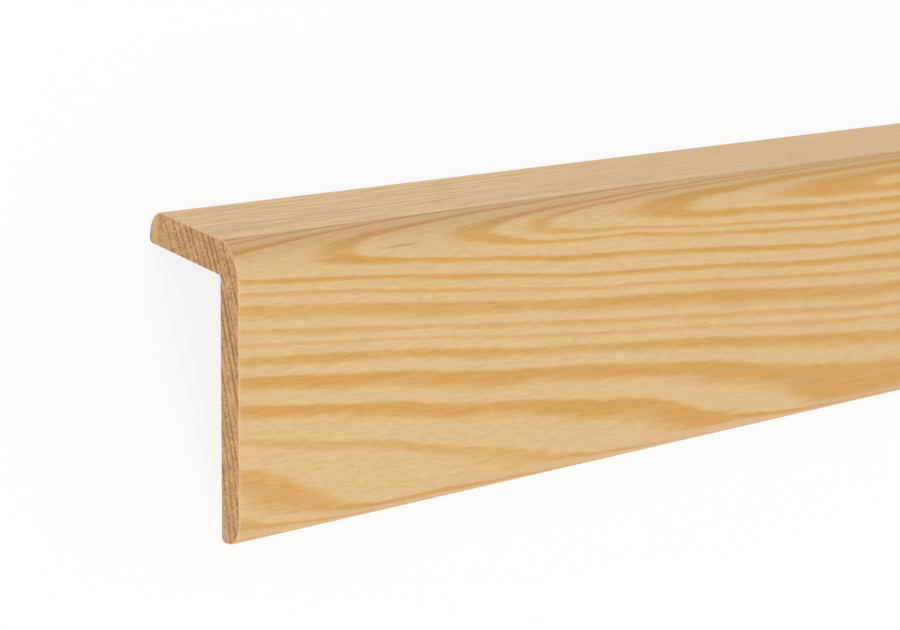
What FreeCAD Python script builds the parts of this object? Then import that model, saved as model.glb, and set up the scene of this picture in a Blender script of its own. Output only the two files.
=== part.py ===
"""Corner guard moulding: one planed softwood angle with unequal legs, cut square to a stock length.

The section is drawn upright in the YZ plane: the long leg stands on its tip with its show face at Y = 0,
and the short leg runs back along +Y from the top. It is swept along +X and then laid as the bare stock
rests on a floor: show faces up, on the inner edges of its two tips, like a low tent.
"""
import FreeCAD, Part

import math
import os

# Driving dimensions, millimetres
LENGTH = 2400.0  # stock length
LONG_LEG = 45.0  # outside width of the long leg
SHORT_LEG = 27.0  # outside width of the short leg
WALL = 5.2  # thickness of both legs
NOSE_RADIUS = 6.0  # round on the outer corner, between the show faces
ARRIS_RADIUS = 0.8  # eased inner edge of each tip
TIP_FLAT = 0.2  # flat left on each tip, between its two rounds
THROAT_RADIUS = 0.5  # cutter's round in the inner corner

# The round on a tip's show edge takes up the rest of the wall.
TIP_RADIUS = WALL - ARRIS_RADIUS - TIP_FLAT


def section_corners():
    """The section's sharp corners in order, each with the radius that rounds it: (y, z, radius)."""
    return [
        (0.0, 0.0, TIP_RADIUS),
        (0.0, LONG_LEG, NOSE_RADIUS),
        (SHORT_LEG, LONG_LEG, TIP_RADIUS),
        (SHORT_LEG, LONG_LEG - WALL, ARRIS_RADIUS),
        (WALL, LONG_LEG - WALL, THROAT_RADIUS),
        (WALL, 0.0, ARRIS_RADIUS),
    ]


def rounded_wire(corners):
    """A closed wire through the corners, with a tangent arc at each one and straight runs between them."""
    points = [FreeCAD.Vector(0, y, z) for y, z, _ in corners]
    arcs = []
    for i, (_, _, radius) in enumerate(corners):
        corner = points[i]
        back = (points[i - 1] - corner).normalize()
        ahead = (points[(i + 1) % len(points)] - corner).normalize()
        half_angle = back.getAngle(ahead) / 2
        setback = radius / math.tan(half_angle)
        bisector = (back + ahead).normalize()
        crown = corner + bisector * (radius / math.sin(half_angle) - radius)
        arcs.append(Part.Arc(corner + back * setback, crown, corner + ahead * setback))
    edges = []
    for arc, following in zip(arcs, arcs[1:] + arcs[:1]):
        edges.append(arc.toShape())
        edges.append(Part.LineSegment(arc.EndPoint, following.StartPoint).toShape())
    return Part.Wire(edges)


def moulding():
    """The upright section swept along the length, with the length centred on the origin."""
    face = Part.Face(rounded_wire(section_corners()))
    solid = face.extrude(FreeCAD.Vector(LENGTH, 0, 0))
    solid.translate(FreeCAD.Vector(-LENGTH / 2, 0, 0))
    return solid


def laid_on_floor(solid):
    """The solid turned about its length until both tips' inner edges touch Z = 0, and centred across Y.

    Both edges have the same round, so the floor is parallel to the line between their centres.
    """
    rise = math.degrees(math.atan2(LONG_LEG - WALL, SHORT_LEG - WALL))
    solid.rotate(FreeCAD.Vector(0, 0, 0), FreeCAD.Vector(1, 0, 0), -rise)
    box = solid.optimalBoundingBox(False)
    solid.translate(FreeCAD.Vector(0, -(box.YMin + box.YMax) / 2, -box.ZMin))
    return solid


os.makedirs("parts", exist_ok=True)
laid_on_floor(moulding()).exportStep("parts/moulding.step")
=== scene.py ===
"""Corner guard moulding in clear planed pine, seen from its near cut end on a white studio floor."""
import math

import bpy
from mathutils import Matrix, Vector, noise


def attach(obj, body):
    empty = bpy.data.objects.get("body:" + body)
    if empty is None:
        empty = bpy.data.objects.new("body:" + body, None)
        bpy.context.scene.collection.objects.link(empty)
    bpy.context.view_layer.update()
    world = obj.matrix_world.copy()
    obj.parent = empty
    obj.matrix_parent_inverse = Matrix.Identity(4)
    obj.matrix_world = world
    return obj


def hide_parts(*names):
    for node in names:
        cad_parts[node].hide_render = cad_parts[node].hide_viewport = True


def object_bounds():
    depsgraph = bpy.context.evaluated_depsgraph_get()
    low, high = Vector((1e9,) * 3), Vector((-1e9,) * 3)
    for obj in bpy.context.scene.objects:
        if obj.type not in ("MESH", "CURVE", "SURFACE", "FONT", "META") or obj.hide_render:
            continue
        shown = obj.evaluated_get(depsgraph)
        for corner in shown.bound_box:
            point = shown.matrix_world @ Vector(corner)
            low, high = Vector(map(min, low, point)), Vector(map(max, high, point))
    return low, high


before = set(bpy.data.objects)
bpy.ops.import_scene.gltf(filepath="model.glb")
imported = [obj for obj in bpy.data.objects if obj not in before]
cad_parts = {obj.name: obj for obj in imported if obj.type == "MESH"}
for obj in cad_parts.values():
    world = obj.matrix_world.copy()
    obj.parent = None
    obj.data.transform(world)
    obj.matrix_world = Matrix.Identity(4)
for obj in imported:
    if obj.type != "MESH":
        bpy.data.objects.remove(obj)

cad_low, cad_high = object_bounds()

# The section, in mm: y runs back from the front face, z up from the long leg's tip
MM = 0.001
LENGTH = (cad_high.x - cad_low.x) / MM
LONG_LEG = 45.0
SHORT_LEG = 27.0
WALL = 5.2
NOSE_HEIGHT = 6.08
NOSE_CREASE = 14.0
NOSE_RADIUS = NOSE_HEIGHT / math.cos(math.radians(NOSE_CREASE))
CREASE_BACK = NOSE_RADIUS * (1.0 - math.sin(math.radians(NOSE_CREASE)))
ARRIS_RADIUS = 0.8
TIP_FLAT = 0.2
TIP_RADIUS = WALL - ARRIS_RADIUS - TIP_FLAT
THROAT_RADIUS = 0.5

# How the section lies: turned about its length until both tips touch the floor
REST_TURN = -math.atan2(LONG_LEG - WALL, SHORT_LEG - WALL)

# Mesh steps
TIP_STEPS = 16
FRONT_STEPS = 60
NOSE_STEPS = 24
TOP_STEPS = 28
ARRIS_STEPS = 8
LONG_BACK_STEPS = 76
THROAT_STEPS = 6
SHORT_BACK_STEPS = 46
CUT_ROWS = 8
CUT_EDGE_STEPS = 4
LOOP_SPACING = 40.0
END_LOOPS = (1.0, 2.5, 6.0, 15.0)

# The saw cut: its broken edge on the show side and on the back, how that varies, and the cut's relief
SHOW_CUT_EDGE = 0.28
BACK_CUT_EDGE = 0.08
CUT_EDGE_VARIATION = 0.35
CUT_EDGE_RATE = 0.7
CUT_EDGE_SEED = 9.0
CUT_EDGE_EVENED = 2
CUT_RELIEF = 0.05
CUT_RELIEF_RATE = 1.3
CUT_RELIEF_SEED = 4.0

# The bake map: strips of the length side by side, and the two cuts enlarged below them
STRIPS = 4
MAP_GAP = 6.0
CUT_MAP_SCALE = 2.3
MAP_SIDE = 645.0

# Growth rings as (ring width, late wood width, depth of colour), outwards; they repeat
YEARS = (
    (5.20, 0.70, 0.55),
    (2.45, 0.80, 0.80),
    (1.60, 0.70, 0.85),
    (1.65, 0.70, 0.80),
    (1.40, 1.00, 0.90),
    (1.45, 0.60, 0.65),
    (1.70, 1.00, 1.00),
    (1.50, 1.10, 1.00),
    (1.05, 0.80, 0.85),
    (0.60, 0.35, 0.50),
    (0.65, 0.45, 0.60),
    (1.30, 1.15, 0.85),
    (0.65, 0.42, 0.65),
    (0.85, 0.50, 0.90),
    (1.00, 0.50, 0.95),
    (0.95, 0.42, 0.90),
    (0.40, 0.30, 0.75),
    (0.75, 0.55, 0.95),
    (0.55, 0.45, 0.90),
)
FIRST_YEAR_RADIUS = 111.9
HEART_RADIUS, SAP_RADIUS = 115.0, 129.0

# The tree's pith, fitted in part to the photo's bands: mean place, and sweeps as (reach, period, phase)
PITH_BACK = 121.98
PITH_BACK_SWEEPS = ((6.34, 760.0, 0.317), (7.0, 1900.0, -0.6))
PITH_UP = 5.83
PITH_UP_SWEEPS = ((30.0, 2100.0, -1.048),)

# Beyond the photographed end the pith runs straighter: from where, over what length, and by what shares
STRAIGHT_FROM = 260.0
STRAIGHT_BLEND = 120.0
BACK_STRAIGHT = 0.85
UP_STRAIGHT = 0.92

# Swellings of the rings near the photo's end, as (x, z, height): four broad ones fitted, the rest given
# one by one
BROAD_SWELLS = (
    (11.0, 37.5, -0.50),
    (69.0, 15.5, -0.20),
    (114.0, 2.5, 0.25),
    (125.0, 32.5, 0.50),
    (142.0, 23.5, 0.45),
)
BROAD_SPREAD = (34.0, 6.0)
SMALL_SWELLS = (
    (0.0, 45.5, -0.25),
    (2.0, 13.0, -0.30),
    (2.0, 30.0, 0.15),
    (14.0, 6.0, 0.30),
    (24.0, 12.0, -0.10),
    (24.0, 3.0, 0.65),
    (25.0, 26.5, -0.10),
    (38.0, 13.0, 0.15),
    (44.0, 21.0, 0.10),
    (62.0, 33.0, 0.15),
    (70.0, 38.5, -0.20),
    (76.0, 8.5, -0.25),
    (100.0, 39.5, -0.15),
    (118.0, 39.5, -0.10),
    (127.0, 7.0, -0.18),
)
SMALL_SPREAD = (10.0, 3.5)

# Bends of the rings by noise: where it takes over from the swellings, and the height of each kind in mm
NOISE_BORDERS = (130.0, 300.0)
WAVE_HEIGHT = 0.7
WIGGLE_HEIGHTS = (0.2, 0.3)
RAGGED_BORDERS = (4.0, 15.0)
RAGGED_HEIGHTS = (0.14, 0.34)
FRAYED_HEIGHT = 0.11

# Places where the late wood is broader or narrower, as (x, z, share more, length, width)
LATE_PATCHES = (
    (6.0, 6.5, 0.5, 10.0, 3.0),
    (13.0, 14.5, 0.5, 6.0, 2.0),
    (42.0, 18.5, 0.35, 9.0, 2.5),
    (46.0, 3.5, 0.6, 10.0, 3.0),
    (100.0, 3.0, -0.5, 8.0, 2.5),
    (124.0, 4.5, 0.9, 14.0, 4.0),
    (118.0, 24.0, 0.2, 30.0, 12.0),
)

# Late wood in a year: its lobes, where it is full and where it ends, and how uneven its colour is
LOBE_SIZE = 0.7
LATE_FULL = 0.4
LATE_ENDS = 0.22
LONG_PATCH_DEPTH = 0.6
SHORT_PATCH_DEPTH = 0.8
EARLY_DRIFT = 0.12

# Noise by what it draws, as (mm along, mm across, mm deep, detail, roughness, seed)
WAVES = (150.0, 12.0, 12.0, 2.0, 0.5, 3.1)
WIGGLES = (24.0, 5.0, 5.0, 2.0, 0.5, 7.7)
RAGGED = (6.0, 0.8, 0.8, 2.0, 0.5, 4.3)
FRAYED = (4.0, 0.22, 0.22, 2.0, 0.5, 1.9)
LOBES = (14.0, 2.5, 2.5, 2.0, 0.5, 8.1)
LONG_PATCHES = (45.0, 4.0, 4.0, 2.0, 0.5, 5.3)
SHORT_PATCHES = (13.0, 1.0, 1.6, 2.0, 0.5, 2.7)
STREAKS = (30.0, 0.9, 1.8, 4.0, 0.65, 0.7)
TOP_STREAKS = (8.0, 0.9, 0.9, 4.0, 0.6, 1.4)
FIBRE = (7.0, 0.50, 0.5, 3.0, 0.65, 2.2)
PORES = (1.8, 0.30, 0.3, 1.0, 0.5, 9.5)
FLECKS = (6.0, 0.40, 0.4, 0.0, 0.5, 5.9)
GLINTS = (2.6, 0.26, 0.3, 1.0, 0.5, 3.3)
TINT = (16.0, 3.0, 4.0, 1.0, 0.5, 6.1)
SPECKLE = (0.5, 0.45, 0.45, 2.0, 0.75, 6.6)
SPECKS = (0.3, 0.20, 0.20, 1.0, 0.6, 4.8)
CUT_PATCHES = (2.4, 1.8, 1.8, 1.0, 0.5, 8.2)

# The streaks' spread across the rings, the fibres' fall along the length, and the borders of single marks
GRAIN_SPREAD = 3.0
FIBRE_FALL = 0.075
FLECK_BORDERS = (0.36, 0.42)
GLINT_BORDERS = (0.12, 0.24)
TINT_BORDERS = (-0.05, 0.20)

# Dark dashes on the front face as (x, z, depth, length, width)
DASHES = ((26.9, 41.8, 1.5, 2.6, 0.15),)

# Borders between parts of the surface, in mm; the cut's are shares of the turn round its edge
CUT_BORDERS = (0.6, 0.95)
CREASE_BLUR = 0.05
# Where the painted sheen behind the crease lies
CREASE_SHEEN_BAND = (0.8, 2.5)
# Where the painted shadow line under the crease lies
CREASE_SHADOW_LINE = (0.85, 0.35)
NOSE_BORDERS = (41.8, 44.0)
LOW_EDGE_BORDERS = (1.5, 4.5)
WORN_TIP_BORDERS = (23.6, 25.2)
SHORT_LEG_BORDERS = (4.5, 8.0)
CALM_BORDERS = (40.0, 110.0)

# Wood colours, linear
EARLY_WOOD = (0.702, 0.476, 0.212)
EARLY_HEART_WOOD = (0.765, 0.484, 0.206)
EARLY_PINK_WOOD = (0.720, 0.474, 0.222)
LATE_WOOD = (0.625, 0.315, 0.062)
# Browner late wood on the nose's ring lines near the end: painted shade of the roundover
NOSE_LATE_WOOD = (0.575, 0.305, 0.085)
NOSE_TONE = (1.03, 0.98, 0.98)
END_EARLY_WOOD = (0.78, 0.46, 0.195)
END_LATE_WOOD = (0.37, 0.18, 0.060)
# Pale frayed fibres on the show side's cut edge, partly a painted highlight
FRAYED_EDGE_AND_HIGHLIGHT = (0.80, 0.50, 0.23)
WORN_WOOD = (0.66, 0.44, 0.17)

# How much fainter the top is, its rings faded there as painted sheen, and the stretch beyond the near
# end, and how the fibres break the late wood
TOP_FADE = 0.25
CALM_TOP_FADE = 0.25
CALM_TOP_STREAKS = 0.75
CALM_FADE = 0.35
FIBRE_IN_LATE = 0.6

# What each layer adds on the planed faces: to the late wood's share of the colour, and to the shade
LONG_SHARES = {
    "streaks": 0.30,
    "top_streaks": 1.20,
    "fibre": 0.10,
    "on_top": 0.13,
    "calm_top": 0.04,
    # Darker, more orange upper nose: painted shade of the roundover, with its crowded rings
    "nose": 0.18,
    # Thin dark line just under the crease: painted shadow, browner like late wood
    "crease_shadow_line": 0.15,
    # Darker and more orange towards the long leg's tip: painted shade
    "low_edge_shade": 0.14,
    # Darker and more orange beyond the near end: painted shade of the light's falloff
    "calm_and_shaded": 0.05,
}
LONG_SHADES = {
    "streaks": -0.10,
    "top_streaks": -0.60,
    "fibre": 0.07,
    "pores": 0.28,
    "flecks": -0.22,
    "glints": 0.10,
    # A little lighter on the top: painted light
    "on_top": 0.035,
    # Darker upper nose: painted shade of the roundover, with its crowded rings
    "nose": -0.085,
    # Darker towards the long leg's tip: painted shade
    "low_edge_shade": -0.04,
    # Paler strip on the top just behind the crease: painted sheen
    "crease_sheen": 0.10,
    # Thin dark line just under the crease: painted shadow
    "crease_shadow_line": -0.08,
    # Darker beyond the near end: painted shade of the light's falloff
    "calm_and_shaded": -0.012,
}

# The same for the late wood's share on the cuts, then the wear of the short leg's tip and the frayed
# edge, whose pale colour is partly a painted highlight
CUT_SHARE = 0.29
CUT_LATE = 0.75
CUT_LATE_SPECKLE = 2.0
CUT_SHARES = {
    "cut_rings": 1.0,
    "speckle": 1.9,
    "specks": 1.5,
    "patches": 0.8,
    "short_leg": 0.09,
    "worn_tip": -0.35,
}
WORN_SHARE = 0.4
FRAYED_AND_HIGHLIGHT_SHARE = 0.7
FRAYED_AND_HIGHLIGHT_SPECKLE = 2.0

# Gloss, then roughness and fine height in mm with what each layer adds to them
WOOD_GLOSS = 0.60
LONG_ROUGHNESS = 0.46
LONG_ROUGHNESS_LAYERS = {"late": -0.08, "fibre": 0.15}
CUT_ROUGHNESS = 0.8
CUT_ROUGHNESS_LAYERS = {"speckle": 0.2}
LONG_HEIGHT_LAYERS = {"late": 0.012, "fibre": 0.010, "pores": 0.010}
CUT_HEIGHT_LAYERS = {"late": 0.03, "speckle": 0.06}

# Camera, in the section's axes with x from the near end
EYE = (-123.8, -224.6, 110.4)
HEADING = math.radians(35.37)
DIP = math.radians(16.226)
ROLL = math.radians(1.62)
LENS = 77.26
SENSOR = 36.0
CLIP_NEAR = 0.01

# Light and floor
SKY_LEVEL = 0.80
KEY_LEVEL = 0.23
KEY_FROM = (-0.20, -0.53, 0.82)
KEY_SPREAD = math.radians(60.0)
FLOOR_SIDE = 60.0
FLOOR_PALE = 1.0
FLOOR_BOUNCE = 0.92
SHADOW_SHARE = 0.16


def arc(centre, radius, start, end, steps, hollow=False):
    """Points and outward directions along an arc of the section, its angles in degrees."""
    made = []
    for step in range(steps + 1):
        angle = math.radians(start + (end - start) * step / steps)
        out = Vector((math.cos(angle), math.sin(angle)))
        made.append((Vector(centre) + radius * out, -out if hollow else out))
    return made


def straight(start, end, outward, steps):
    """Points and outward directions along a flat of the section."""
    return [(Vector(start).lerp(Vector(end), step / steps), Vector(outward)) for step in range(steps + 1)]


def joined(*stretches):
    """One path from stretches that each start where the last one ends."""
    return [stretches[0][0]] + [entry for stretch in stretches for entry in stretch[1:]]


def show_path():
    """The faces on show: round the long leg's tip, up the front, over the nose and back along the top."""
    nose_low = LONG_LEG - NOSE_HEIGHT
    back_flat = SHORT_LEG - TIP_RADIUS
    return joined(
        arc((TIP_RADIUS, TIP_RADIUS), TIP_RADIUS, 270, 180, TIP_STEPS),
        straight((0, TIP_RADIUS), (0, nose_low), (-1, 0), FRONT_STEPS),
        arc((NOSE_RADIUS, nose_low), NOSE_RADIUS, 180, 90 + NOSE_CREASE, NOSE_STEPS),
        straight((CREASE_BACK, LONG_LEG), (back_flat, LONG_LEG), (0, 1), TOP_STEPS),
        arc((back_flat, LONG_LEG - TIP_RADIUS), TIP_RADIUS, 90, 0, TIP_STEPS),
    )


def back_path():
    """The faces against the wall, from the long leg's tip through the throat to the short leg's tip."""
    ceiling = LONG_LEG - WALL
    throat_up = ceiling - THROAT_RADIUS
    throat_back = WALL + THROAT_RADIUS
    arris_back = SHORT_LEG - ARRIS_RADIUS
    return joined(
        arc((WALL - ARRIS_RADIUS, ARRIS_RADIUS), ARRIS_RADIUS, 270, 360, ARRIS_STEPS),
        straight((WALL, ARRIS_RADIUS), (WALL, throat_up), (1, 0), LONG_BACK_STEPS),
        arc((throat_back, throat_up), THROAT_RADIUS, 180, 90, THROAT_STEPS, hollow=True),
        straight((throat_back, ceiling), (arris_back, ceiling), (0, -1), SHORT_BACK_STEPS),
        arc((arris_back, ceiling + ARRIS_RADIUS), ARRIS_RADIUS, 270, 360, ARRIS_STEPS),
    )


def tip_flat(show, back):
    """The points between the two paths across a tip's flat."""
    return [(show[0].lerp(back[0], row / CUT_ROWS), show[1]) for row in range(1, CUT_ROWS)]


def section_loop():
    """The closed outline as (point, outward, is it on the show side)."""
    show, back = show_path(), back_path()
    loop = [(*entry, True) for entry in show]
    loop += [(*entry, False) for entry in tip_flat(show[-1], back[-1])]
    loop += [(*entry, False) for entry in reversed(back)]
    loop += [(*entry, False) for entry in reversed(tip_flat(show[0], back[0]))]
    return loop


def cut_edge(loop, end):
    """How far the saw cut's edge is broken at each point of the outline, evened out over neighbours."""
    widths = []
    for point, _, on_show in loop:
        size = SHOW_CUT_EDGE if on_show else BACK_CUT_EDGE
        spot = Vector((point.x * CUT_EDGE_RATE, point.y * CUT_EDGE_RATE, CUT_EDGE_SEED * end))
        widths.append(size * (1.0 + CUT_EDGE_VARIATION * noise.noise(spot)))
    count = len(widths)
    near = range(-CUT_EDGE_EVENED, CUT_EDGE_EVENED + 1)
    return [sum(widths[(index + step) % count] for step in near) / len(near) for index in range(count)]


def stations():
    """Places of the plain loops along the length, the strips' borders among them."""
    strip = LENGTH / STRIPS
    steps = round(strip / LOOP_SPACING)
    loops = [strip * number + strip * step / steps for number in range(STRIPS) for step in range(steps)]
    return sorted(set(loops[1:]) | set(END_LOOPS) | {LENGTH - place for place in END_LOOPS})


class Wood:
    """Vertices, faces and per-vertex facts of the moulding while it is built."""

    def __init__(self, loop):
        self.loop = loop
        self.points = []
        self.loop_points = 0
        self.end_grain = []
        self.rim = []
        self.faces = []

    def add(self, x, point, end_grain=0.0, rim=0.0):
        self.points.append((x, point.x, point.y))
        self.end_grain.append(end_grain)
        self.rim.append(rim)
        return len(self.points) - 1

    def plain_loop(self, x):
        return [self.add(x, point) for point, _, _ in self.loop]

    def broken_loop(self, widths, angle, from_end):
        """One loop round a cut's broken edge, from the face at angle 0 to the cut at a right angle."""
        made = []
        for (point, outward, on_show), width in zip(self.loop, widths):
            depth = width * (1.0 - math.sin(angle))
            inset = point - outward * width * (1.0 - math.cos(angle))
            on_cut = angle / (math.pi / 2)
            # The rim value marks the pale frayed edge and its painted highlight, on the show side only
            made.append(self.add(from_end(depth), inset, on_cut, on_show * math.sin(2 * angle)))
        return made

    def bridge(self, first, second):
        count = len(first)
        for index in range(count):
            after = (index + 1) % count
            self.faces.append((first[index], second[index], second[after], first[after]))

    def cut(self, loop_ids, from_end, end):
        """Fills a cut end with rows of quads between the show side and the back."""
        steps = len(show_path())
        flat = CUT_ROWS - 1
        show = loop_ids[:steps]
        far_tip = loop_ids[steps:steps + flat]
        back = loop_ids[steps + flat:2 * steps + flat][::-1]
        near_tip = loop_ids[2 * steps + flat:][::-1]
        columns = [[show[0], *near_tip, back[0]]]
        for index in range(1, steps - 1):
            columns.append(self.cut_column(show[index], back[index], from_end, end))
        columns.append([show[-1], *far_tip, back[-1]])
        for left, right in zip(columns, columns[1:]):
            for row in range(CUT_ROWS):
                quad = (left[row], right[row], right[row + 1], left[row + 1])
                self.faces.append(quad if end == 0 else quad[::-1])

    def cut_column(self, show_id, back_id, from_end, end):
        start = Vector(self.points[show_id][1:])
        finish = Vector(self.points[back_id][1:])
        column = [show_id]
        for row in range(1, CUT_ROWS):
            point = start.lerp(finish, row / CUT_ROWS)
            spot = Vector((point.x * CUT_RELIEF_RATE, point.y * CUT_RELIEF_RATE, CUT_RELIEF_SEED + end))
            relief = 0.5 + 0.5 * noise.noise(spot)
            column.append(self.add(from_end(CUT_RELIEF * relief), point, 1.0))
        return column + [back_id]


def built_wood():
    """The whole moulding: near cut, the length, far cut."""
    loop = section_loop()
    wood = Wood(loop)
    angles = [math.pi / 2 * step / CUT_EDGE_STEPS for step in range(CUT_EDGE_STEPS + 1)]
    ends = (lambda depth: depth, lambda depth: LENGTH - depth)
    edges = []
    for end, from_end in enumerate(ends):
        widths = cut_edge(loop, end)
        edges.append([wood.broken_loop(widths, angle, from_end) for angle in angles])
    near, far = edges
    loops = near[::-1] + [wood.plain_loop(x) for x in stations()] + far
    wood.loop_points = len(wood.points)
    for first, second in zip(loops, loops[1:]):
        wood.bridge(first, second)
    for end, from_end in enumerate(ends):
        wood.cut(edges[end][-1], from_end, end)
    return wood


def laid_on_floor(wood):
    """The turn and shift that take section coordinates in mm to the frame's metres."""
    turn = Matrix.Rotation(REST_TURN, 4, "X")
    laid = [turn @ Vector((0.0, point.x, point.y)) for point, _, _ in wood.loop]
    middle = (min(place.y for place in laid) + max(place.y for place in laid)) / 2
    lowest = min(place.z for place in laid)
    shift = Matrix.Translation((-LENGTH / 2, -middle, -lowest))
    return Matrix.Scale(MM, 4) @ shift @ turn


def add_bake_map(mesh, wood):
    """Lays the length out in strips and the two cuts below them, on the map named OFBake."""
    outline = [point for point, _, _ in wood.loop]
    around = [0.0]
    for first, second in zip(outline, outline[1:] + outline[:1]):
        around.append(around[-1] + (second - first).length)
    strip_length = LENGTH / STRIPS
    strip_height = around[-1] + MAP_GAP
    count = len(outline)
    layer = mesh.uv_layers.new(name="OFBake")
    for polygon in mesh.polygons:
        corners = [wood.points[vertex] for vertex in polygon.vertices]
        on_cut = all(wood.end_grain[vertex] == 1.0 for vertex in polygon.vertices)
        middle = sum(corner[0] for corner in corners) / len(corners)
        strip = min(int(middle / strip_length), STRIPS - 1)
        for loop_index, vertex, (x, y, z) in zip(polygon.loop_indices, polygon.vertices, corners):
            if on_cut:
                far_end = middle > LENGTH / 2
                u = MAP_GAP + CUT_MAP_SCALE * z + far_end * (MAP_SIDE / 2)
                v = STRIPS * strip_height + MAP_GAP + CUT_MAP_SCALE * y
            else:
                place = vertex % count
                wraps = place == 0 and max(other % count for other in polygon.vertices) == count - 1
                u = MAP_GAP + x - strip * strip_length
                v = strip * strip_height + MAP_GAP / 2 + (around[-1] if wraps else around[place])
            layer.data[loop_index].uv = (u / MAP_SIDE, v / MAP_SIDE)


def mark_crease(mesh, wood):
    """Keeps the line sharp where the cutter's round meets the planed top."""
    count = len(wood.loop)
    crease = TIP_STEPS + FRONT_STEPS + NOSE_STEPS
    for edge in mesh.edges:
        first, second = edge.vertices
        on_loops = max(first, second) < wood.loop_points
        edge.use_edge_sharp = on_loops and first % count == second % count == crease


def add_moulding(wood, to_frame):
    """The finished mesh object, with the wood's own coordinates kept on its vertices."""
    mesh = bpy.data.meshes.new("pine_moulding")
    mesh.from_pydata([to_frame @ Vector(point) for point in wood.points], [], wood.faces)
    mesh.validate()
    grown = mesh.attributes.new("grown_at", "FLOAT_VECTOR", "POINT")
    grown.data.foreach_set("vector", [number for point in wood.points for number in point])
    for name, values in (("end_grain", wood.end_grain), ("cut_rim_highlight", wood.rim)):
        mesh.attributes.new(name, "FLOAT", "POINT").data.foreach_set("value", values)
    mesh.polygons.foreach_set("use_smooth", [True] * len(mesh.polygons))
    mark_crease(mesh, wood)
    add_bake_map(mesh, wood)
    piece = bpy.data.objects.new("pine_moulding", mesh)
    bpy.context.scene.collection.objects.link(piece)
    return piece


class Graph:
    """Adds linked nodes to a node tree; inputs are sockets, numbers or colours."""

    def __init__(self, tree):
        self.tree = tree
        tree.nodes.clear()

    def node(self, kind, inputs=(), **settings):
        made = self.tree.nodes.new(kind)
        for name, value in settings.items():
            setattr(made, name, value)
        for key, value in dict(inputs).items():
            self.feed(made.inputs[key], value)
        return made

    def feed(self, socket, value):
        if isinstance(value, bpy.types.NodeSocket):
            self.tree.links.new(value, socket)
        elif socket.type == "RGBA":
            socket.default_value = (*value, 1.0)
        else:
            socket.default_value = value

    def math(self, operation, *values):
        made = self.node("ShaderNodeMath", enumerate(values), operation=operation)
        return made.outputs[0]

    def add(self, first, *others):
        for other in others:
            first = self.math("ADD", first, other)
        return first

    def blend(self, total, *terms):
        """A total with terms added to it, each a value and its weight."""
        for value, weight in terms:
            total = self.math("MULTIPLY_ADD", value, weight, total)
        return total

    def layered(self, total, layers, weights):
        """A total with layers added to it by name, each with its weight."""
        return self.blend(total, *[(layers[name], weight) for name, weight in weights.items()])

    def clamped(self, value):
        return self.math("MAXIMUM", self.math("MINIMUM", value, 1.0), 0.0)

    def times(self, first, second):
        return self.math("MULTIPLY", first, second)

    def smooth(self, value, low, high, to_low=0.0, to_high=1.0):
        """A smooth step from to_low to to_high as value goes from low to high."""
        inputs = {"Value": value, "From Min": low, "From Max": high, "To Min": to_low, "To Max": to_high}
        return self.node("ShaderNodeMapRange", inputs, interpolation_type="SMOOTHSTEP").outputs["Result"]

    def vector(self, x, y, z):
        return self.node("ShaderNodeCombineXYZ", {0: x, 1: y, 2: z}).outputs[0]

    def vector_math(self, operation, first, second):
        return self.node("ShaderNodeVectorMath", {0: first, 1: second}, operation=operation).outputs

    def attribute(self, name, output):
        return self.node("ShaderNodeAttribute", attribute_name=name).outputs[output]

    def noise(self, place, along, across, deep, detail, roughness, seed):
        """Noise from -0.5 to 0.5 whose grains are along mm long, across mm high and deep mm thick."""
        scale = (1 / along, 1 / deep, 1 / across)
        mapping = {"Vector": place, "Location": (seed,) * 3, "Scale": scale}
        stretched = self.node("ShaderNodeMapping", mapping).outputs[0]
        inputs = {"Vector": stretched, "Scale": 1.0, "Detail": detail, "Roughness": roughness}
        return self.math("SUBTRACT", self.node("ShaderNodeTexNoise", inputs).outputs["Fac"], 0.5)

    def steps(self, value, stops, interpolation):
        """A table read at value: stops are (place, number), both from 0 to 1."""
        made = self.node("ShaderNodeValToRGB", {"Fac": value})
        made.color_ramp.interpolation = interpolation
        entries = made.color_ramp.elements
        for index, (place, number) in enumerate(stops):
            entry = entries[index] if index < 2 else entries.new(place)
            entry.position = place
            entry.color = (number, number, number, 1.0)
        return made.outputs["Color"]

    def mix(self, share, first, second, blend="MIX"):
        inputs = {"Fac": share, "Color1": first, "Color2": second}
        return self.node("ShaderNodeMixRGB", inputs, blend_type=blend).outputs["Color"]


def pith_place(graph, x, mean, sweeps):
    """Where the pith runs at x along the length."""
    place = mean
    for reach, period, phase in sweeps:
        angle = graph.add(graph.times(x, 2 * math.pi / period), phase)
        place = graph.math("MULTIPLY_ADD", graph.math("SINE", angle), reach, place)
    return place


def swell(graph, place, x, z, height, length, width):
    """A local bulge round a place on the front face."""
    offset = graph.vector_math("SUBTRACT", place, (x, 0.0, z))["Vector"]
    scaled = graph.vector_math("MULTIPLY", offset, (1 / length, 0.0, 1 / width))["Vector"]
    square = graph.vector_math("DOT_PRODUCT", scaled, scaled)["Value"]
    return graph.times(graph.math("EXPONENT", graph.times(square, -1.0)), height)


def slowed(graph, x, share):
    """The place along the length, held back by a share of what lies beyond the photographed end."""
    beyond = graph.math("SMOOTH_MAX", graph.add(x, -STRAIGHT_FROM), 0.0, STRAIGHT_BLEND)
    return graph.blend(x, (beyond, -share))


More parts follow.
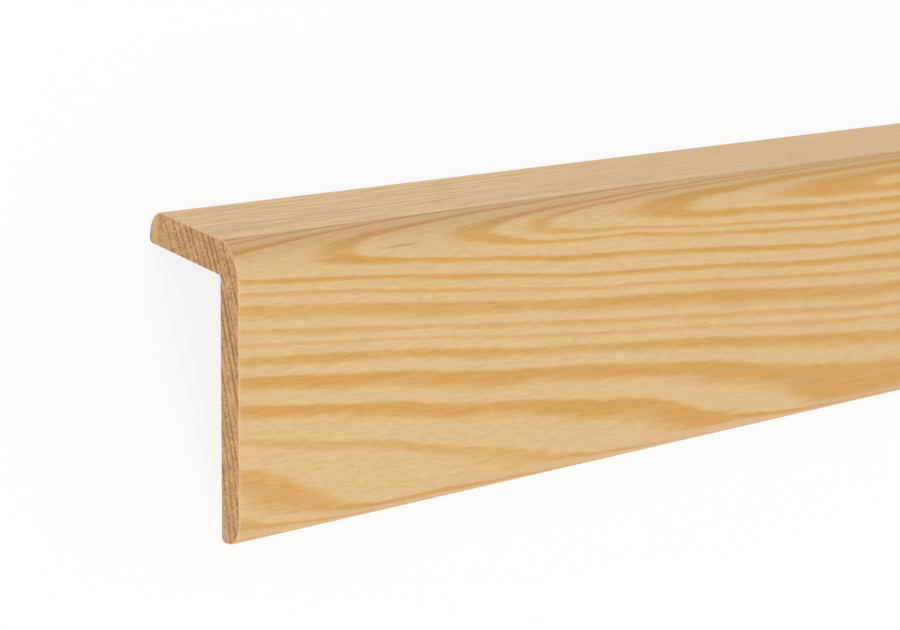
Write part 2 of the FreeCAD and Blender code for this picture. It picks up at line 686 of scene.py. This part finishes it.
def even_radius(graph, place, axes):
    """Distance from the pith in mm, with the slow bends that growth has."""
    back_along = slowed(graph, axes["X"], BACK_STRAIGHT)
    up_along = slowed(graph, axes["X"], UP_STRAIGHT)
    pith_back = pith_place(graph, back_along, PITH_BACK, PITH_BACK_SWEEPS)
    pith_up = pith_place(graph, up_along, PITH_UP, PITH_UP_SWEEPS)
    from_back = graph.math("SUBTRACT", pith_back, axes["Y"])
    from_below = graph.math("SUBTRACT", axes["Z"], pith_up)
    squares = graph.add(graph.times(from_back, from_back), graph.times(from_below, from_below))
    swells = [swell(graph, place, *entry, *BROAD_SPREAD) for entry in BROAD_SWELLS]
    swells += [swell(graph, place, *entry, *SMALL_SPREAD) for entry in SMALL_SWELLS]
    further_on = graph.smooth(axes["X"], *NOISE_BORDERS)
    waves = graph.times(graph.noise(place, *WAVES), graph.times(further_on, WAVE_HEIGHT))
    wiggle_height = graph.smooth(axes["X"], *NOISE_BORDERS, *WIGGLE_HEIGHTS)
    wiggles = graph.times(graph.noise(place, *WIGGLES), wiggle_height)
    return graph.add(graph.math("SQRT", squares), *swells, waves, wiggles)


def ragged_radius(graph, place, axes, even):
    """The radius with the rings' frayed borders, most frayed where the rings meet the face flat."""
    low_down = graph.smooth(axes["Z"], *RAGGED_BORDERS, 1.0, 0.0)
    near_end = graph.smooth(axes["X"], *NOISE_BORDERS, 1.0, 0.0)
    ragged_height = graph.smooth(graph.times(low_down, near_end), 0.0, 1.0, *RAGGED_HEIGHTS)
    ragged = graph.times(graph.noise(place, *RAGGED), ragged_height)
    return graph.blend(graph.add(even, ragged), (graph.noise(place, *FRAYED), FRAYED_HEIGHT))


def year_and_phase(graph, radius):
    """The middle of a radius's year, as a share of the list of years, and how far that year has run."""
    widths = [width for width, _, _ in YEARS]
    span, count = sum(widths), len(widths)
    offset = graph.math("SUBTRACT", radius, FIRST_YEAR_RADIUS)
    share = graph.times(graph.math("FLOORED_MODULO", offset, span), 1 / span)
    borders = [(sum(widths[:year]) / span, year / count) for year in range(count + 1)]
    year = graph.times(graph.steps(share, borders, "LINEAR"), count)
    year_middle = graph.times(graph.add(graph.math("FLOOR", year), 0.5), 1 / count)
    return year_middle, graph.math("FRACT", year)


def late_wood(graph, place, radius):
    """How much of the colour is late wood's, from 0 to about 1, year by year."""
    year_middle, phase = year_and_phase(graph, radius)
    count = len(YEARS)
    late_stops = [(index / count, late / width) for index, (width, late, _) in enumerate(YEARS)]
    depth_stops = [(index / count, depth) for index, (_, _, depth) in enumerate(YEARS)]
    patches = [swell(graph, place, *entry) for entry in LATE_PATCHES]
    lobes = graph.add(graph.blend(1.0, (graph.noise(place, *LOBES), LOBE_SIZE)), *patches)
    late_share = graph.times(graph.steps(year_middle, late_stops, "CONSTANT"), lobes)
    late_from = graph.blend(1.0, (late_share, -1.0))
    late_full = graph.blend(1.0, (late_share, -LATE_FULL))
    late_ends = graph.blend(1.0, (late_share, -LATE_ENDS))
    rise = graph.smooth(phase, late_from, late_full)
    fall = graph.smooth(phase, late_ends, 1.0, 1.0, 0.0)
    uneven = graph.blend(
        1.0,
        (graph.noise(place, *LONG_PATCHES), LONG_PATCH_DEPTH),
        (graph.noise(place, *SHORT_PATCHES), SHORT_PATCH_DEPTH),
    )
    depth = graph.times(graph.steps(year_middle, depth_stops, "CONSTANT"), uneven)
    late = graph.times(graph.times(rise, fall), depth)
    return graph.math("MAXIMUM", late, graph.times(phase, EARLY_DRIFT))


def face_masks(graph, axes):
    """Where the parts of the surface lie, each from 0 to 1."""
    back, up = axes["Y"], axes["Z"]
    on_top = graph.smooth(back, CREASE_BACK - CREASE_BLUR, CREASE_BACK + CREASE_BLUR)
    # Where the painted sheen behind the crease lies
    near_crease = graph.smooth(back, CREASE_BACK + CREASE_SHEEN_BAND[0], CREASE_BACK + CREASE_SHEEN_BAND[1], 1.0, 0.0)
    # Where the painted shadow line under the crease lies
    under_crease = graph.smooth(back, CREASE_BACK - CREASE_SHADOW_LINE[0], CREASE_BACK - CREASE_SHADOW_LINE[1])
    # The upper nose, where painted shade of the roundover darkens its crowded rings
    nose = graph.smooth(graph.blend(up, (on_top, -LONG_LEG)), *NOSE_BORDERS)
    # Beyond the near end: calmer texture there, and painted shade of the light's falloff
    calm_and_shaded = graph.smooth(axes["X"], *CALM_BORDERS)
    near_end = graph.blend(1.0, (calm_and_shaded, -1.0))
    near_nose = graph.times(nose, near_end)
    return {
        "on_cut": graph.smooth(graph.attribute("end_grain", "Fac"), *CUT_BORDERS),
        "rim": graph.attribute("cut_rim_highlight", "Fac"),
        "on_top": on_top,
        # Paler strip just behind the crease: painted sheen
        "crease_sheen": graph.times(graph.times(on_top, near_crease), near_end),
        "nose": nose,
        "near_nose": near_nose,
        # Thin dark line just under the crease: painted shadow
        "crease_shadow_line": graph.times(near_nose, under_crease),
        # Darker towards the long leg's tip: painted shade
        "low_edge_shade": graph.smooth(up, *LOW_EDGE_BORDERS, 1.0, 0.0),
        "worn_tip": graph.smooth(back, *WORN_TIP_BORDERS),
        "short_leg": graph.smooth(back, *SHORT_LEG_BORDERS),
        "calm_and_shaded": calm_and_shaded,
    }


def fine_texture(graph, place, axes, even):
    """Fibres and pores, which run straight, streaks and tints, which follow the rings, and specks."""
    fallen = graph.blend(axes["Z"], (slowed(graph, axes["X"], UP_STRAIGHT), FIBRE_FALL))
    along_fibres = graph.vector(axes["X"], axes["Y"], fallen)
    along_rings = graph.vector(axes["X"], axes["Z"], graph.times(even, GRAIN_SPREAD))
    flecks = graph.smooth(graph.noise(along_fibres, *FLECKS), *FLECK_BORDERS)
    dashes = [swell(graph, place, *entry) for entry in DASHES]
    return {
        "streaks": graph.noise(along_rings, *STREAKS),
        "top_streaks": graph.noise(place, *TOP_STREAKS),
        "fibre": graph.noise(along_fibres, *FIBRE),
        "pores": graph.noise(along_fibres, *PORES),
        "flecks": graph.add(flecks, *dashes),
        "glints": graph.smooth(graph.noise(along_fibres, *GLINTS), *GLINT_BORDERS),
        "tint": graph.noise(along_rings, *TINT),
        "speckle": graph.noise(place, *SPECKLE),
        "specks": graph.noise(place, *SPECKS),
        "patches": graph.noise(place, *CUT_PATCHES),
    }


def planed_layers(graph, masks, texture):
    """The layers that colour the planed faces, calmer away from the near end."""
    on_top, calm_and_shaded = masks["on_top"], masks["calm_and_shaded"]
    calm_top = graph.times(on_top, calm_and_shaded)
    streaked = graph.blend(on_top, (calm_top, -CALM_TOP_STREAKS))
    crisp = graph.blend(1.0, (calm_and_shaded, -CALM_FADE))
    return {
        **masks,
        **texture,
        "calm_top": calm_top,
        "top_streaks": graph.times(texture["top_streaks"], streaked),
        "pores": graph.times(texture["pores"], crisp),
        "glints": graph.times(texture["glints"], crisp),
    }


def long_colour(graph, radius, late, masks, texture):
    """The colour of the planed faces."""
    layers = planed_layers(graph, masks, texture)
    top_faded = graph.blend(1.0, (layers["on_top"], -TOP_FADE), (layers["calm_top"], -CALM_TOP_FADE))
    broken = graph.blend(1.0, (layers["fibre"], FIBRE_IN_LATE))
    share = graph.times(late, graph.times(top_faded, broken))
    share = graph.layered(share, layers, LONG_SHARES)
    shade = graph.layered(1.0, layers, LONG_SHADES)
    early = graph.mix(graph.smooth(radius, HEART_RADIUS, SAP_RADIUS), EARLY_HEART_WOOD, EARLY_WOOD)
    early = graph.mix(graph.smooth(layers["tint"], *TINT_BORDERS), early, EARLY_PINK_WOOD)
    late_tone = graph.mix(layers["near_nose"], LATE_WOOD, NOSE_LATE_WOOD)
    grain = graph.mix(graph.clamped(share), early, late_tone)
    grain = graph.mix(layers["near_nose"], grain, NOSE_TONE, "MULTIPLY")
    return graph.mix(1.0, grain, shade, "MULTIPLY")


def cut_colour(graph, late, masks, texture):
    """The colour of the saw cuts, speckled by the ends of the fibres."""
    speckled = graph.blend(CUT_LATE, (texture["speckle"], CUT_LATE_SPECKLE))
    layers = {**masks, **texture, "cut_rings": graph.times(late, speckled)}
    share = graph.layered(CUT_SHARE, layers, CUT_SHARES)
    sawn = graph.mix(graph.clamped(share), END_EARLY_WOOD, END_LATE_WOOD)
    return graph.mix(graph.times(masks["worn_tip"], WORN_SHARE), sawn, WORN_WOOD)


def roughness_and_normal(graph, on_cut, layers):
    """The finish of the planed faces and of the cuts."""
    long_rough = graph.layered(LONG_ROUGHNESS, layers, LONG_ROUGHNESS_LAYERS)
    cut_rough = graph.layered(CUT_ROUGHNESS, layers, CUT_ROUGHNESS_LAYERS)
    long_height = graph.layered(0.0, layers, LONG_HEIGHT_LAYERS)
    cut_height = graph.layered(0.0, layers, CUT_HEIGHT_LAYERS)
    height = graph.mix(on_cut, long_height, cut_height)
    bump = graph.node("ShaderNodeBump", {"Strength": 1.0, "Distance": MM, "Height": height})
    return graph.mix(on_cut, long_rough, cut_rough), bump.outputs["Normal"]


def pine_material():
    """Planed pine: rings, fibres and tone on the long faces, darker speckled end grain on the cuts."""
    material = bpy.data.materials.new("planed_pine")
    material.use_nodes = True
    graph = Graph(material.node_tree)
    place = graph.attribute("grown_at", "Vector")
    axes = graph.node("ShaderNodeSeparateXYZ", {"Vector": place}).outputs
    even = even_radius(graph, place, axes)
    radius = ragged_radius(graph, place, axes, even)
    late = late_wood(graph, place, radius)
    masks = face_masks(graph, axes)
    texture = fine_texture(graph, place, axes, even)

    planed = long_colour(graph, radius, late, masks, texture)
    colour = graph.mix(masks["on_cut"], planed, cut_colour(graph, late, masks, texture))
    speckled = graph.blend(FRAYED_AND_HIGHLIGHT_SHARE, (texture["speckle"], FRAYED_AND_HIGHLIGHT_SPECKLE))
    # The pale cut edge on the show side: frayed fibres and painted highlight
    colour = graph.mix(graph.times(masks["rim"], speckled), colour, FRAYED_EDGE_AND_HIGHLIGHT)
    roughness, normal = roughness_and_normal(graph, masks["on_cut"], {"late": late, **texture})
    surface = graph.node(
        "ShaderNodeBsdfPrincipled",
        {
            "Base Color": colour,
            "Roughness": roughness,
            "Specular IOR Level": WOOD_GLOSS,
            "Normal": normal,
        },
    )
    graph.node("ShaderNodeOutputMaterial", {"Surface": surface.outputs["BSDF"]})
    return material


def shown_rays(graph):
    """1 for the rays that show the background: seen directly, in gloss or through glass."""
    rays = graph.node("ShaderNodeLightPath").outputs
    seen = graph.math("MAXIMUM", rays["Is Camera Ray"], rays["Is Glossy Ray"])
    return graph.math("MAXIMUM", seen, rays["Is Transmission Ray"])


def floor_material():
    """Pale floor that shows white with the object's faint shadow on it."""
    material = bpy.data.materials.new("studio_floor")
    material.use_nodes = True
    graph = Graph(material.node_tree)
    shown = shown_rays(graph)
    white_share = graph.times(shown, 1.0 - SHADOW_SHARE)
    level = graph.mix(shown, (FLOOR_BOUNCE,) * 3, (FLOOR_PALE,) * 3)
    pale = graph.node("ShaderNodeBsdfDiffuse", {"Color": level})
    white = graph.node("ShaderNodeEmission", {"Color": (1.0, 1.0, 1.0), "Strength": 1.0})
    both = graph.node(
        "ShaderNodeMixShader",
        {0: white_share, 1: pale.outputs["BSDF"], 2: white.outputs["Emission"]},
    )
    graph.node("ShaderNodeOutputMaterial", {"Surface": both.outputs["Shader"]})
    return material


def add_floor():
    """A wide plain floor."""
    half = FLOOR_SIDE / 2
    corners = [(-half, -half, 0), (half, -half, 0), (half, half, 0), (-half, half, 0)]
    mesh = bpy.data.meshes.new("studio_floor")
    mesh.from_pydata(corners, [], [(0, 1, 2, 3)])
    mesh.materials.append(floor_material())
    floor = bpy.data.objects.new("studio_floor", mesh)
    bpy.context.scene.collection.objects.link(floor)


def add_light():
    """An even white sky, and a broad soft key from above and a little in front."""
    world = bpy.data.worlds.new("studio_sky")
    bpy.context.scene.world = world
    world.use_nodes = True
    graph = Graph(world.node_tree)
    level = graph.smooth(shown_rays(graph), 0.0, 1.0, SKY_LEVEL, 1.0)
    sky = graph.node("ShaderNodeBackground", {"Color": (1.0, 1.0, 1.0), "Strength": level})
    graph.node("ShaderNodeOutputWorld", {"Surface": sky.outputs["Background"]})
    lamp = bpy.data.lights.new("soft_key", "SUN")
    lamp.energy = KEY_LEVEL * math.pi
    lamp.angle = KEY_SPREAD
    key = bpy.data.objects.new("soft_key", lamp)
    key.rotation_mode = "QUATERNION"
    key.rotation_quaternion = Vector(KEY_FROM).to_track_quat("Z", "Y")
    bpy.context.scene.collection.objects.link(key)


def add_camera(to_frame):
    """The photograph's view of the near end, turned with the section as it lies."""
    ahead = math.cos(DIP)
    forward = Vector((math.sin(HEADING) * ahead, math.cos(HEADING) * ahead, -math.sin(DIP)))
    level = Vector((math.cos(HEADING), -math.sin(HEADING), 0.0))
    right = level * math.cos(ROLL) + level.cross(forward) * math.sin(ROLL)
    up = right.cross(forward)
    facing = Matrix((right, up, -forward)).transposed()
    camera = bpy.data.cameras.new("camera")
    camera.lens = LENS
    camera.sensor_width = SENSOR
    camera.clip_start = CLIP_NEAR
    viewer = bpy.data.objects.new("camera", camera)
    turned = to_frame.to_3x3().normalized() @ facing
    viewer.matrix_world = Matrix.Translation(to_frame @ Vector(EYE)) @ turned.to_4x4()
    bpy.context.scene.collection.objects.link(viewer)
    bpy.context.scene.camera = viewer


wood = built_wood()
to_frame = laid_on_floor(wood)
add_camera(to_frame)
moulding = add_moulding(wood, to_frame)
moulding.data.materials.append(pine_material())
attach(moulding, "root")
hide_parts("moulding")
add_floor()
add_light()
bpy.context.scene.view_settings.view_transform = "Standard"
